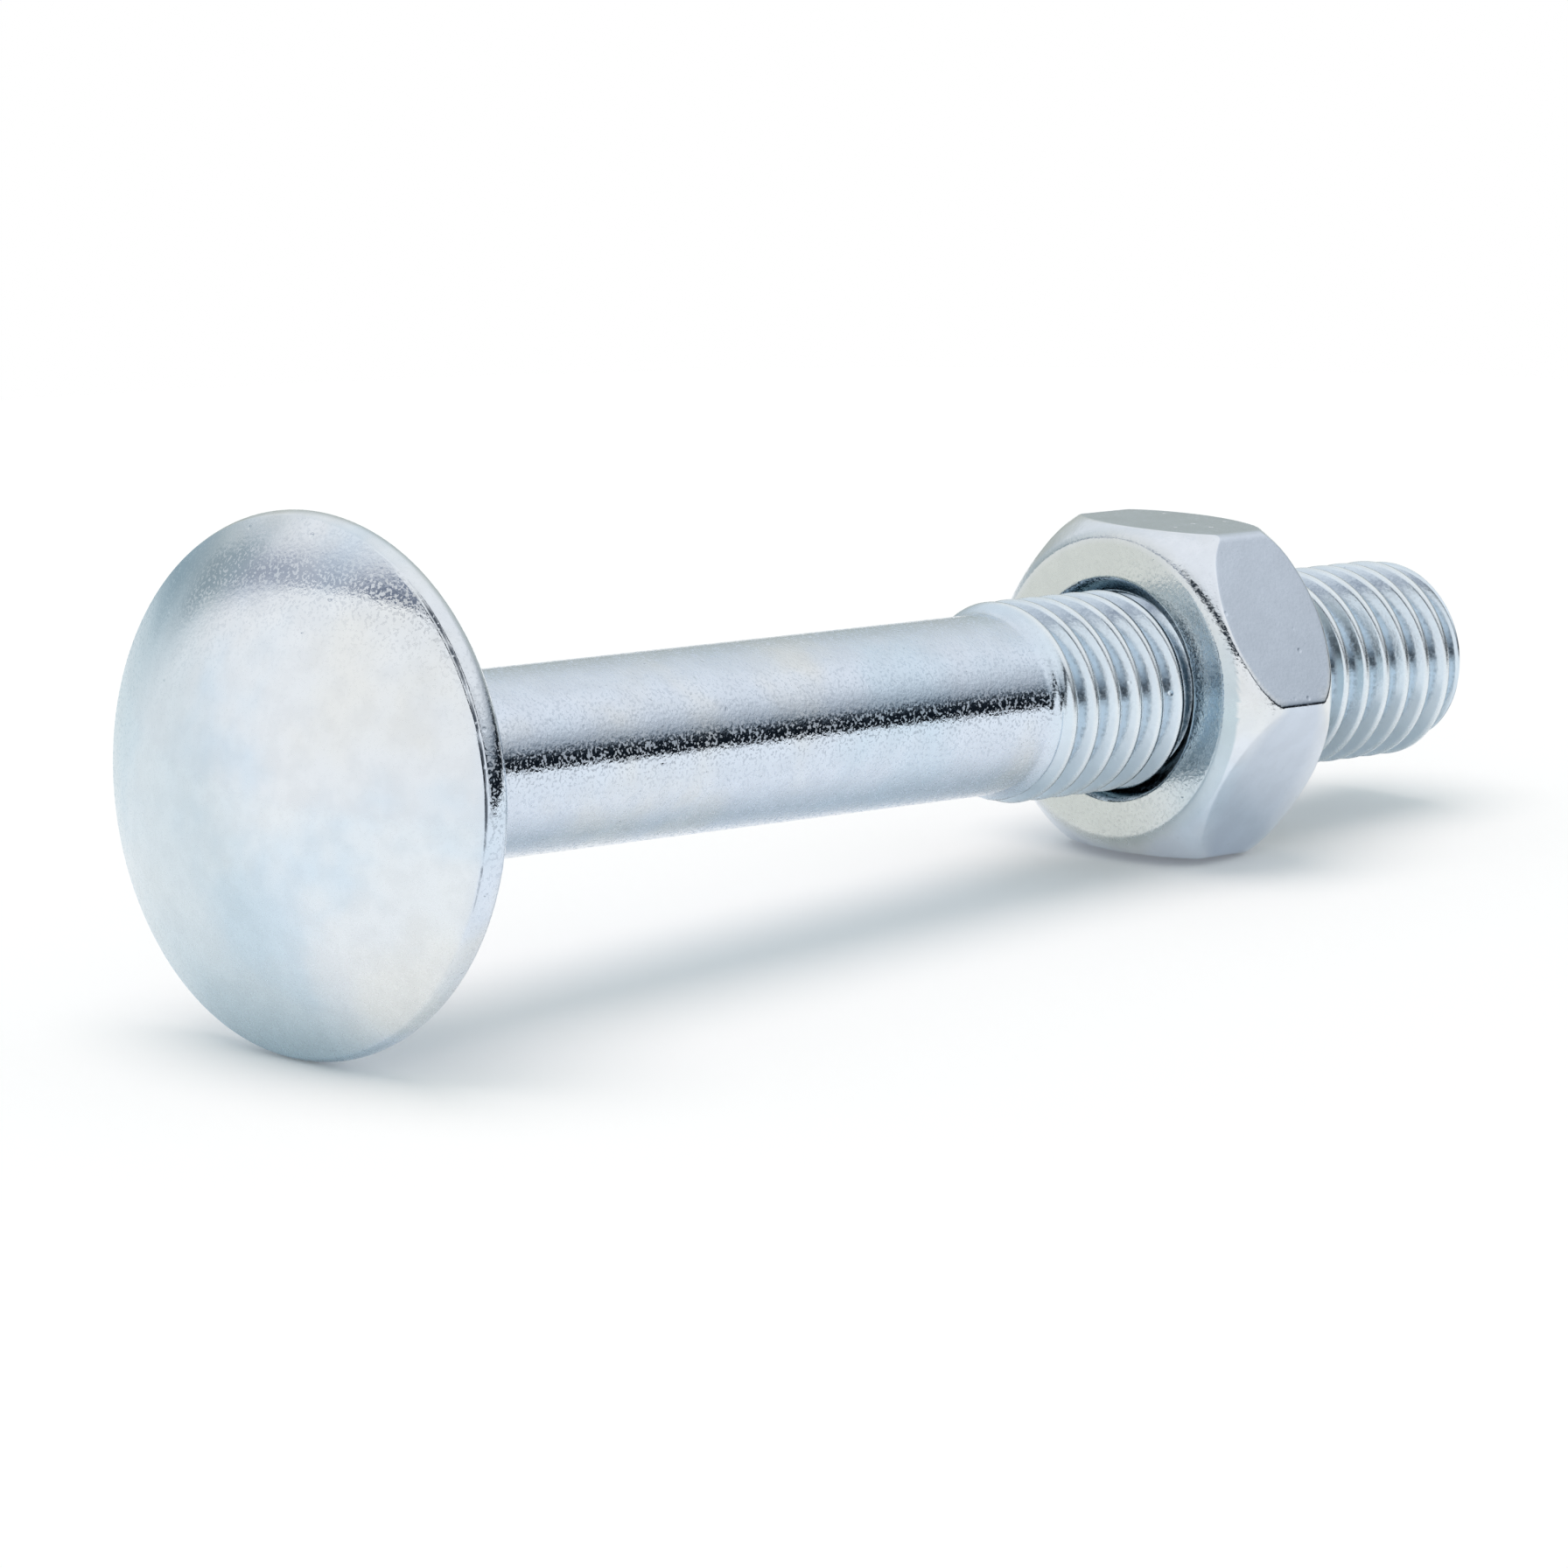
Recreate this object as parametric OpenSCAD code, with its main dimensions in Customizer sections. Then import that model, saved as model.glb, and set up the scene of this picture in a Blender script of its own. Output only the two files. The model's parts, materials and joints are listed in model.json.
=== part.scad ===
// Carriage bolt with its hex nut, lying as it comes to rest: on the rim of its head and a flat of the nut.
// Each piece is drawn along its own axis, +Z from the head to the tip, with the head's underside at zero.

/* [Head] */
// Diameter of the domed head
head_d = 20; // [17:0.1:24]
// Height of the head, from its flat underside to the top of the dome
head_h = 4.5; // [3.5:0.1:6]
// Radius of the rounded rim
rim_r = 0.9; // [0.5:0.05:1.1]
// Angle above the rim's widest line at which the dome meets the rim
rim_end = 35; // [20:1:50]

/* [Square neck] */
// Width across the flats of the neck
neck_w = 8; // [7.2:0.1:8.6]
// Height of the neck below the head, with its tapered end
neck_h = 5; // [3.5:0.1:6]
// Diameter to which the corners of the neck are rounded
neck_corner_d = 10.6; // [9.4:0.1:11.8]
// Height of the tapered end of the neck
neck_taper = 1.2; // [0.6:0.1:1.4]

/* [Shank and thread] */
// Length from the head's underside to the tip
bolt_l = 60; // [50:1:120]
// Diameter of the plain shank
shank_d = 7.05; // [6.7:0.05:7.3]
// Diameter over the thread's crests
thread_d = 7.95; // [7.7:0.01:8]
// Distance between one crest and the next along the axis
pitch = 1.25; // [1:0.05:1.4]
// Length of the thread up to the tip, with its run-out
thread_l = 24.9; // [23:0.1:34]
// Depth from the crests to the roots
thread_depth = 0.72; // [0.5:0.01:0.8]
// Width of the flat on each crest
crest_w = 0.22; // [0.1:0.01:0.25]
// Angle of each flank from a plane across the axis
flank_a = 30; // [25:1:32]
// Length of the ramp from the shank up to the first crest
runout_l = 0.9; // [0.5:0.1:2]
// How far the rounded tip falls in from the crests
tip_in = 0.76; // [0.4:0.02:1]
// Length of the rounded tip
tip_l = 1.05; // [0.5:0.05:1.5]
// Turn of the thread about the axis; at 0 a crest crosses the local X axis where the thread starts
thread_turn = 42; // [0:1:359]

/* [Nut] */
// Width across the flats of the nut
nut_w = 13; // [12.6:0.1:14]
// Thickness of the nut
nut_h = 6.4; // [5.5:0.1:8]
// Diameter of the flat face at each end of the nut
nut_face_d = 11.9; // [11:0.1:12.4]
// Slope of the chamfer round each end of the nut
nut_chamfer_a = 42; // [30:1:45]
// Radius that blends the chamfer into the corners
nut_blend_r = 2.2; // [1.2:0.1:2.4]
// Radius on the upright edges of the nut
nut_edge_r = 0.45; // [0.2:0.05:0.9]
// Clearance between the thread's crests and the nut's bore
bore_gap = 0.1; // [0.06:0.01:0.2]
// Width of the countersink at each mouth of the bore
mouth_w = 0.4; // [0.2:0.05:0.6]
// How far the tip stands out beyond the nut
tip_out = 11.1; // [1:0.1:14]

/* [Hidden] */

$fn = 96;
// Facets of the large circle that the dome is part of
dome_fn = 384;
// Sides of one turn of the thread
turn_steps = 36;
// Steps in the arc that rounds each upright edge of the nut
edge_steps = 4;
// A cut, or a piece sunk into another, runs this far past the face
over = 0.5;

// Head: the dome is a sphere through the apex and the line where it meets the rim
head_r = head_d / 2;
rim_c = [head_r - rim_r, -rim_r];
dome_edge = rim_c + rim_r * [cos(rim_end), -sin(rim_end)];
dome_h = head_h + dome_edge.y;
dome_r = (pow(dome_edge.x, 2) + pow(dome_h, 2)) / (2 * dome_h);
dome_z = dome_r - head_h;

// Thread: the profile of one pitch as [distance along the axis, radius]
shank_r = shank_d / 2;
crest_r = thread_d / 2;
root_r = crest_r - thread_depth;
flank_w = thread_depth * tan(flank_a);
root_w = pitch - crest_w - 2 * flank_w;
crest_mid = pitch - flank_w - crest_w / 2;
profile = [
    [0, root_r],
    [root_w, root_r],
    [root_w + flank_w, crest_r],
    [root_w + flank_w + crest_w, crest_r],
];
profile_n = len(profile);
thread_z = bolt_l - thread_l;
// The thread's body starts inside the shank, a little thinner than it
thread_sink = 0.08;
thread_foot = thread_z - over;
// A point nearer than this to the end of the thread's body is moved onto it
snap = 0.06;
// Whole turns by which the helix starts below the thread, so that every column reaches its foot
lead_turns = 3;
turns = ceil(thread_l / pitch) + lead_turns + 1;
helix_z = thread_z - crest_mid - lead_turns * pitch + pitch * thread_turn / 360;

// Nut: it sits back from the tip, and its upright edges are rounded
nut_z = bolt_l - tip_out - nut_h;
bore_r = crest_r + bore_gap;
edge_c = (nut_w / 2 - nut_edge_r) / cos(30);
corner_r = edge_c + nut_edge_r;
blend_x = corner_r - nut_blend_r;
blend_z = nut_blend_r * cos(nut_chamfer_a)
    + (blend_x + nut_blend_r * sin(nut_chamfer_a) - nut_face_d / 2) * tan(nut_chamfer_a);

// Rest: the floor touches the rim and the end of the nut's lower flat that is nearer the tip
flat_end_z = nut_z + nut_h - (nut_w / 2 - nut_face_d / 2) * tan(nut_chamfer_a);
rest_run = flat_end_z - rim_c.y;
rest_drop = rim_c.x - nut_w / 2;
rest_tilt = atan2(rest_drop, rest_run) + asin(rim_r / norm([rest_run, rest_drop]));
rest_lift = rim_r + rim_c.x * cos(rest_tilt) + rim_c.y * sin(rest_tilt);
left_x = dome_z * cos(rest_tilt) - dome_r;
right_x = bolt_l * cos(rest_tilt) + (crest_r - tip_in) * sin(rest_tilt);

function arc(c, r, a0, a1, n) =
    [for (i = [0:n]) c + r * [cos(a0 + (a1 - a0) * i / n), sin(a0 + (a1 - a0) * i / n)]];

function clamp(x, lo, hi) = max(lo, min(hi, x));

// Radius of the blank that the thread is rolled on, with the run-out ramp and the rounded tip
function blank_r(z) =
    z > bolt_l - tip_l
        ? crest_r - tip_in * (1 - sqrt(max(0, 1 - pow((z - bolt_l + tip_l) / tip_l, 2))))
        : shank_r - thread_sink
            + (crest_r - shank_r + thread_sink) * clamp((z - thread_z) / runout_l, 0, 1);

// Place along the axis of point m of column i, before it is cut off at the ends
function point_z(i, m) =
    helix_z + pitch * (i / turn_steps + floor(m / profile_n)) + profile[m % profile_n][0];

// Radius of the thread there: its groove starts shallow and is cut off by the blank
function point_r(m, z) =
    let (groove = clamp((z - thread_z - runout_l / 2) / pitch, 0, 1))
    min(blank_r(z), crest_r - (crest_r - profile[m % profile_n][1]) * groove);

// First and last point of column i that the thread's body needs
function first_m(i) = max([for (m = [0:profile_n * turns - 1]) if (point_z(i, m) <= thread_foot + snap) m]);
function last_m(i) = min([for (m = [0:profile_n * turns - 1]) if (point_z(i, m) >= bolt_l - snap) m]);

// Turns a shape from its own axis into the way the bolt lies, with the origin under its middle
module lay_down() {
    translate([-(left_x + right_x) / 2, 0, rest_lift])
        rotate([0, 90 + rest_tilt, 0])
            children();
}

module head() {
    rotate_extrude() {
        translate([0, rim_c.y])
            square([rim_c.x, rim_r]);
        translate([0, dome_edge.y])
            square([dome_edge.x, rim_c.y - dome_edge.y]);
        intersection() {
            translate(rim_c)
                circle(rim_r);
            translate([rim_c.x, dome_edge.y])
                square([rim_r, -dome_edge.y]);
        }
        intersection() {
            translate([0, dome_z])
                circle(dome_r, $fn = dome_fn);
            translate([0, -head_h])
                square([dome_edge.x, dome_h]);
        }
    }
}

module neck() {
    intersection() {
        translate([0, 0, -over])
            linear_extrude(neck_h + over)
                square(neck_w, center = true);
        rotate_extrude()
            polygon([
                [0, -over],
                [neck_corner_d / 2, -over],
                [neck_corner_d / 2, neck_h - neck_taper],
                [shank_r, neck_h],
                [0, neck_h],
            ]);
    }
}

// One closed skin: flat rings at both ends and helical strips between them
module thread() {
    column_n = profile_n * turns;
    lows = [for (i = [0:turn_steps - 1]) first_m(i)];
    highs = [for (i = [0:turn_steps - 1]) last_m(i)];
    points = [
        for (i = [0:turn_steps - 1]) for (m = [0:column_n - 1])
            let (
                z = m <= lows[i] ? thread_foot : m >= highs[i] ? bolt_l : point_z(i, m),
                r = m <= lows[i] ? blank_r(z) : point_r(m, z),
                a = 360 * i / turn_steps
            )
            [r * cos(a), r * sin(a), z]
    ];
    // The last column joins the first one a whole pitch further on
    function at(i, m) =
        let (wrap = i == turn_steps, j = wrap ? 0 : i)
        j * column_n + clamp(m + (wrap ? profile_n : 0), lows[j], highs[j]);
    strips = [
        for (i = [0:turn_steps - 1]) for (m = [0:column_n - 2])
            let (a = at(i, m), b = at(i + 1, m), c = at(i + 1, m + 1), d = at(i, m + 1))
            each [
                if (a != b && b != c && a != c) [a, c, b],
                if (a != c && c != d && a != d) [a, d, c],
            ]
    ];
    foot = [for (i = [0:turn_steps - 1]) at(i, 0)];
    end = [for (i = [turn_steps - 1:-1:0]) at(i, column_n - 1)];
    polyhedron(points, concat(strips, [foot], [end]));
}

module carriage_bolt() {
    color([0.80, 0.84, 0.88])
        lay_down() {
            head();
            neck();
            cylinder(h = thread_z, r = shank_r);
            thread();
        }
}

// Section of the nut's outside, from its axis out to its corners
module nut_section() {
    translate([0, blend_z])
        square([corner_r, nut_h - 2 * blend_z]);
    for (side = [0, 1])
        translate([0, side * nut_h])
            mirror([0, side])
                union() {
                    translate([blend_x, blend_z])
                        circle(nut_blend_r);
                    polygon([
                        [0, 0],
                        [nut_face_d / 2, 0],
                        [
                            blend_x + nut_blend_r * sin(nut_chamfer_a),
                            blend_z - nut_blend_r * cos(nut_chamfer_a),
                        ],
                        [blend_x, blend_z],
                        [0, blend_z],
                    ]);
                }
}

module hex_nut() {
    color([0.80, 0.84, 0.88])
        lay_down()
            translate([0, 0, nut_z])
                difference() {
                    intersection() {
                        rotate_extrude()
                            nut_section();
                        linear_extrude(nut_h)
                            polygon([
                                for (k = [0:5])
                                    let (a = 30 + 60 * k)
                                    each arc(edge_c * [cos(a), sin(a)], nut_edge_r, a - 30, a + 30, edge_steps)
                            ]);
                    }
                    translate([0, 0, -over])
                        cylinder(h = nut_h + 2 * over, r = bore_r);
                    for (side = [0, 1])
                        translate([0, 0, side * nut_h])
                            mirror([0, 0, side])
                                translate([0, 0, -over])
                                    cylinder(
                                        h = mouth_w + over,
                                        r1 = bore_r + mouth_w + over,
                                        r2 = bore_r
                                    );
                }
}

carriage_bolt();
hex_nut();
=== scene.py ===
"""Zinc-plated carriage bolt with its hex nut, lying on the rim of its head and a flat of the nut."""

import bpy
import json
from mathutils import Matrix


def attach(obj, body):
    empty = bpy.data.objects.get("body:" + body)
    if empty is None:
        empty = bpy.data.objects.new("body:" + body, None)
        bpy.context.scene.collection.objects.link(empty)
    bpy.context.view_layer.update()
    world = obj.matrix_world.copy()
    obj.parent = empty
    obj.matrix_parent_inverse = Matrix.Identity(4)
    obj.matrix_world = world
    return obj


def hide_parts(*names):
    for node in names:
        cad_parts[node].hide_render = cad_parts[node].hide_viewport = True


bl_info = {
    "name": "Carriage Bolt",
    "version": (1, 0, 0),
    "blender": (4, 5, 0),
    "location": "View3D > Sidebar > Bolt",
    "description": "Builds a zinc-plated carriage bolt, its hex nut and a small studio",
    "category": "Object",
}

import json
import math

import bmesh
import bpy
from bpy.props import FloatProperty, FloatVectorProperty, IntProperty, PointerProperty
from mathutils import Matrix, Quaternion, Vector, noise

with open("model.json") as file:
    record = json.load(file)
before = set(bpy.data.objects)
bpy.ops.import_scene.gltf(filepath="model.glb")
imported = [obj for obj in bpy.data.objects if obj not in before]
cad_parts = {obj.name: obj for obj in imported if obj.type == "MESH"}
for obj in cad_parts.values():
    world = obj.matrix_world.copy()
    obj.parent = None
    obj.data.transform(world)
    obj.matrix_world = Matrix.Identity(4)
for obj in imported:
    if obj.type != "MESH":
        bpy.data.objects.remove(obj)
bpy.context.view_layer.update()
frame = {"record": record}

MM = 0.001
MICRON = 0.000001
MOUNTS = {mount["name"]: mount for mount in frame["record"]["mounts"]}

# The bolt's own axis: Z runs from the head's underside to the tip, and -X is up as it lies
HEAD_SEAT = Vector(MOUNTS["head_underside"]["pos_m"])
ALONG = Vector(MOUNTS["head_underside"]["axis"]).normalized()
NUT_SEAT = Vector(MOUNTS["nut_bearing_face"]["pos_m"])
NUT_START = (NUT_SEAT - HEAD_SEAT).dot(ALONG)
SIDE = Vector((0, 1, 0))
LAY_DOWN = Matrix.Translation(HEAD_SEAT) @ Matrix((SIDE.cross(ALONG), SIDE, ALONG)).transposed().to_4x4()

# Vertices nearer to each other than this are one vertex
WELD = 2 * MICRON


def length_prop(name, description, default, **options):
    """Property that holds a length."""
    return FloatProperty(name=name, description=description, default=default, unit="LENGTH", **options)


def angle_prop(name, description, degrees):
    """Property that holds an angle, which is given in degrees and kept in radians."""
    return FloatProperty(name=name, description=description, default=math.radians(degrees), unit="ROTATION")


def colour_prop(name, description, default):
    """Property that holds a colour."""
    return FloatVectorProperty(
        name=name, description=description, default=default, subtype="COLOR", size=3, min=0, max=1
    )


class BoltSizes(bpy.types.PropertyGroup):
    """Sizes of the bolt without its thread."""

    head_d: length_prop("Head diameter", "Diameter of the domed head", 20 * MM)
    head_h: length_prop("Head height", "From the flat underside to the top of the dome", 4.5 * MM)
    rim_r: length_prop("Rim radius", "Radius of the rounded rim", 0.9 * MM)
    rim_end: angle_prop("Rim end", "Angle above the rim's widest line where the dome meets the rim", 35)
    crease_w: length_prop("Crease width", "Width of the groove between dome and rim", 0.09 * MM)
    crease_h: length_prop(
        "Crease depth", "Depth of the groove between dome and rim where it is deepest",
        0.035 * MM, precision=5,
    )
    neck_w: length_prop("Neck width", "Width across the flats of the square neck", 8 * MM)
    neck_h: length_prop("Neck height", "Height of the square neck with its tapered end", 5 * MM)
    neck_corner_d: length_prop("Neck corners", "Diameter to which the neck's corners are rounded", 10.6 * MM)
    neck_taper: length_prop("Neck taper", "Height of the tapered end of the neck", 1.2 * MM)
    neck_edge: length_prop("Neck edges", "Softness of the neck's edges", 0.25 * MM)
    neck_fillet: length_prop("Neck fillet", "Radius between the neck and the head's underside", 0.4 * MM)
    length: length_prop("Length", "From the head's underside to the tip", 60 * MM)
    shank_d: length_prop("Shank diameter", "Diameter of the plain shank", 7.05 * MM)
    tip_in: length_prop("Tip fall", "How far the rounded tip falls in from the crests", 0.76 * MM)
    tip_l: length_prop("Tip length", "Length of the rounded tip", 1.05 * MM)
    columns: IntProperty(
        name="Columns", description="Faces round the bolt and the nut, a multiple of 24", default=192
    )


class ThreadSizes(bpy.types.PropertyGroup):
    """Sizes of the thread that the bolt and the nut share."""

    crest_d: length_prop("Crest diameter", "Diameter over the bolt's crests", 7.95 * MM)
    pitch: length_prop("Pitch", "Distance from one crest to the next", 1.25 * MM)
    length: length_prop("Thread length", "Length of the thread up to the tip", 24.9 * MM)
    depth: length_prop("Depth", "From the bolt's crests to its roots", 0.72 * MM)
    crest_w: length_prop("Crest width", "Width of the flat on each crest", 0.16 * MM)
    flank_a: angle_prop("Flank angle", "Angle of each flank from a plane across the axis", 30)
    softness: length_prop("Softness", "How far crests and roots are rounded", 0.05 * MM)
    runout: length_prop("Run-out", "Length of the ramp from the shank up to the first crest", 0.9 * MM)
    turn: angle_prop("Turn", "Turn of the thread from where a crest crosses local X at its foot", 42)
    play: length_prop("Play", "Gap along the axis between the nut's flanks and the bolt's", 0.06 * MM)
    rows: IntProperty(name="Rows", description="Rows of faces across one pitch", default=16)


class NutSizes(bpy.types.PropertyGroup):
    """Sizes of the nut without its thread."""

    width: length_prop("Width", "Width across the flats", 13 * MM)
    height: length_prop("Thickness", "Thickness along the bolt", 6.4 * MM)
    face_d: length_prop("Face diameter", "Diameter of the flat ring on each face", 11.9 * MM)
    chamfer_low: angle_prop("First slope", "Slope of the chamfer where it leaves the face", 26)
    chamfer_high: angle_prop("Last slope", "Slope of the chamfer out at the corners", 50)
    chamfer_r: length_prop("Chamfer radius", "Radius of the chamfer's rounded profile", 1.5 * MM)
    corner_w: length_prop(
        "Corner width", "Width over which the chamfer falls off faster at the corners", 0.6 * MM
    )
    corner_h: length_prop("Corner fall", "How much farther the chamfer falls at the corners", 0.5 * MM)
    crown: length_prop(
        "Crown", "How far each flat falls away from its middle to its edges", 0.03 * MM, precision=5
    )
    edge_r: length_prop("Edge radius", "Radius on the upright edges", 0.45 * MM)
    bevel: length_prop("Bevel", "Softness of the edges round the chamfer", 0.1 * MM)
    mouth_d: length_prop("Mouth diameter", "Diameter of the countersink at each face", 8.95 * MM)
    minor_d: length_prop("Minor diameter", "Diameter over the crests of the nut's thread", 6.8 * MM)
    major_d: length_prop("Major diameter", "Diameter over the roots of the nut's thread", 8.08 * MM)


class ZincFinish(bpy.types.PropertyGroup):
    """Colours and texture of the bright zinc plating."""

    plate: colour_prop("Plate", "Main colour of the plating", (0.70, 0.775, 0.88))
    cool: colour_prop("Cool", "Bluish patches", (0.62, 0.75, 0.87))
    warm: colour_prop("Warm", "Cream patches", (0.80, 0.81, 0.79))
    # Brighter plating on the dome; on the rim's upper side as the bolt lies it is a painted highlight
    dome: colour_prop("Dome", "Brighter plating on the dome", (0.84, 0.86, 0.86))
    # Painted shade: a darker, bluer tone to one side of the dome and of the nut's faces
    dull: colour_prop(
        "Dull", "Duller plating to one side of the dome and of the nut's faces", (0.46, 0.59, 0.66)
    )
    flat: colour_prop("Flats", "Duller plating on the nut's flats", (0.64, 0.71, 0.81))
    nut_plate: colour_prop("Nut plate", "Main colour of the nut's plating", (0.78, 0.83, 0.90))
    thread: colour_prop("Thread", "Main colour of the rolled thread", (0.70, 0.80, 0.88))
    crest: colour_prop("Crest", "Bright worn crests of the thread", (0.86, 0.90, 0.92))
    ring: colour_prop("Ring", "Dull cream rings of the nut's faces", (0.61, 0.645, 0.62))
    # Painted shade: a dark tone inside the nut
    bore: colour_prop("Bore", "Dull plating inside the nut", (0.10, 0.16, 0.19))
    # Dark flecks, and painted shade in the head's crease and beside each crest
    dirt_and_shade: colour_prop("Dirt", "Dark flecks, most of them in the head's crease", (0.10, 0.12, 0.15))
    mottle: FloatProperty(
        name="Mottle", description="How much the duller clouds darken the plating", default=0.06, min=0, max=1
    )
    patch: length_prop("Patch size", "Size of the patches of colour", 7 * MM)
    rough_low: FloatProperty(
        name="Least roughness", description="Roughness of the smoothest spots", default=0.04
    )
    rough_high: FloatProperty(
        name="Most roughness", description="Roughness of the dullest spots between specks", default=0.09
    )
    speck: length_prop("Speck size", "Size of the dull specks all over", 0.13 * MM)
    rough_speck: FloatProperty(
        name="Speck roughness", description="Roughness that the dull specks add", default=0.4
    )
    rough_thread: FloatProperty(
        name="Thread roughness", description="Roughness that the rolled thread adds", default=0.1
    )
    rough_ring: FloatProperty(
        name="Ring roughness", description="Roughness that the rings of the nut's faces add", default=0.1
    )
    wave: length_prop("Wave size", "Size of the slow waves in the surface", 2.2 * MM)
    wave_h: length_prop("Wave height", "Height of the slow waves", 6 * MICRON, precision=6)
    grain: length_prop("Grain size", "Size of the fine grain of the plating", 0.15 * MM)
    grain_h: length_prop("Grain height", "Height of the fine grain", 11 * MICRON, precision=6)
    pit: length_prop("Pit spacing", "Distance between pits", 1.1 * MM)
    pit_h: length_prop("Pit depth", "Depth of the pits", 10 * MICRON, precision=6)


class StudioSettings(bpy.types.PropertyGroup):
    """Camera, floor and light."""

    lens: FloatProperty(name="Lens", description="Focal length on a 36 mm sensor", default=203.2)
    azimuth: angle_prop("Azimuth", "Turn of the camera round the bolt", -45.919)
    elevation: angle_prop("Elevation", "Height of the camera above the horizon", 12.117)
    roll: angle_prop("Roll", "Turn of the camera about its line of sight", -0.588)
    distance: length_prop("Distance", "From the camera to its target", 339.303 * MM)
    target: FloatVectorProperty(
        name="Target", description="Point in the middle of the picture",
        default=(-2.461 * MM, 1.4 * MM, 5.63 * MM), subtype="TRANSLATION", size=3, unit="LENGTH",
    )
    floor_r: length_prop("Floor radius", "Radius of the round floor", 0.13)
    tent_r: length_prop("Tent radius", "Radius of the light tent", 3.0)
    floor_shade: FloatProperty(name="Floor shade", description="Grey of the floor", default=0.9, min=0, max=1)
    floor_glow: FloatProperty(
        name="Floor glow", description="Light that lifts the floor to white in the picture",
        default=0.1, min=0,
    )
    sky: FloatProperty(name="Sky", description="Level of the light from all round", default=0.70, min=0)
    sky_tint: colour_prop("Sky tint", "Colour of the light from all round", (0.88, 0.98, 1.0))
    lamp_tint: colour_prop("Lamp tint", "Colour of the soft box", (1.0, 0.86, 0.82))
    lamp: FloatProperty(name="Lamp", description="Power of the soft box in watts", default=28.0, min=0)
    lamp_size: length_prop("Lamp size", "Diameter of the soft box", 2.2)
    lamp_place: FloatVectorProperty(
        name="Lamp place", description="Middle of the soft box, which faces the bolt",
        default=(-0.2, 0.3, 2.4), subtype="TRANSLATION", size=3, unit="LENGTH",
    )


class Wiring:
    """Adds nodes to a tree and links them, so that a rule reads as nested calls."""

    def __init__(self, tree):
        self.tree = tree

    def put(self, socket, value):
        if isinstance(value, bpy.types.NodeSocket):
            self.tree.links.new(value, socket)
        else:
            socket.default_value = value

    def node(self, kind, inputs=None, **settings):
        made = self.tree.nodes.new(kind)
        for name, value in settings.items():
            setattr(made, name, value)
        for name, value in (inputs or {}).items():
            self.put(made.inputs[name], value)
        return made

    def math(self, operation, *values):
        made = self.tree.nodes.new("ShaderNodeMath")
        made.operation = operation
        for socket, value in zip(made.inputs, values):
            self.put(socket, value)
        return made.outputs[0]

    def add(self, a, b):
        return self.math("ADD", a, b)

    def less(self, a, b):
        return self.math("SUBTRACT", a, b)

    def times(self, a, b):
        return self.math("MULTIPLY", a, b)

    def over(self, a, b):
        return self.math("DIVIDE", a, b)

    def limit(self, value, low, high):
        return self.math("MINIMUM", self.math("MAXIMUM", value, low), high)

    def smooth_step(self, value, low, high, to_low=0.0, to_high=1.0):
        made = self.node("ShaderNodeMapRange", interpolation_type="SMOOTHSTEP")
        for socket, given in zip(made.inputs, (value, low, high, to_low, to_high)):
            self.put(socket, given)
        return made.outputs[0]

    def ramp(self, factor, stops):
        """Colour ramp whose stops are (place from 0 to 1, colour)."""
        made = self.node("ShaderNodeValToRGB", {"Fac": factor})
        elements = made.color_ramp.elements
        while len(elements) < len(stops):
            elements.new(1.0)
        for element, (place, colour) in zip(elements, stops):
            element.position = place
            element.color = (*colour, 1.0)
        return made.outputs["Color"]

    def blend(self, share, a, b):
        """Colour a where the share is 0, and b where it is 1."""
        made = self.node("ShaderNodeMix", data_type="RGBA")
        for index, value in zip((0, 6, 7), (share, a, b)):
            self.put(made.inputs[index], value)
        return made.outputs[2]


def smooth_min(a, b, width):
    """The smaller of two lengths, with the corner between them rounded over a width."""
    near = max(width - abs(a - b), 0) / width
    return min(a, b) - near * near * width / 4


def smooth_max(a, b, width):
    return -smooth_min(-a, -b, width)


def mix(a, b, share):
    return a + (b - a) * share


def bend(a, corner, b, steps):
    """Points of a smooth bend from a to b that leans into the corner, as (radius, height)."""
    points = []
    for step in range(steps + 1):
        t = step / steps
        points.append(tuple(
            (1 - t) ** 2 * p + 2 * t * (1 - t) * q + t * t * r for p, q, r in zip(a, corner, b)
        ))
    return points


def spread_angles(columns, parts, edge, share):
    """Angles round the axis, crowded towards the corners of a regular shape with that many parts.

    The corners lie half a part from each side's middle. A share of the columns stays between the
    middle and the edge, which is an angle from the middle, and the rest goes from there to the corner.
    """
    angles = []
    half = math.pi / parts
    per_half = columns // (2 * parts)
    for column in range(columns):
        part, step = divmod(column + per_half, 2 * per_half)
        place = (step - per_half) / per_half
        reach = abs(place)
        if reach < share:
            off = edge * reach / share
        else:
            off = mix(edge, half, (reach - share) / (1 - share))
        angles.append(2 * half * part + math.copysign(off, place))
    return angles


def even_angles(columns):
    return [2 * math.pi * column / columns for column in range(columns)]


def ring(angles, radii, height):
    """Points round the axis at a height. Radii is one radius, or one for each angle."""
    if isinstance(radii, (int, float)):
        radii = [radii] * len(angles)
    return [(r * math.cos(a), r * math.sin(a), height) for a, r in zip(angles, radii)]


def skin(rings, first_pole=None, last_pole=None):
    """Mesh of quads through the rings, with a fan to each pole that is given."""
    bm = bmesh.new()
    rows = [[bm.verts.new(point) for point in points] for points in rings]
    for row, after in zip(rows, rows[1:]):
        for k in range(len(row)):
            n = (k + 1) % len(row)
            bm.faces.new((row[k], row[n], after[n], after[k]))
    for pole, row in ((first_pole, rows[0]), (last_pole, rows[-1])):
        if pole is not None:
            tip = bm.verts.new(pole)
            for k in range(len(row)):
                bm.faces.new((tip, row[k], row[(k + 1) % len(row)]))
    return bm


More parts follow.
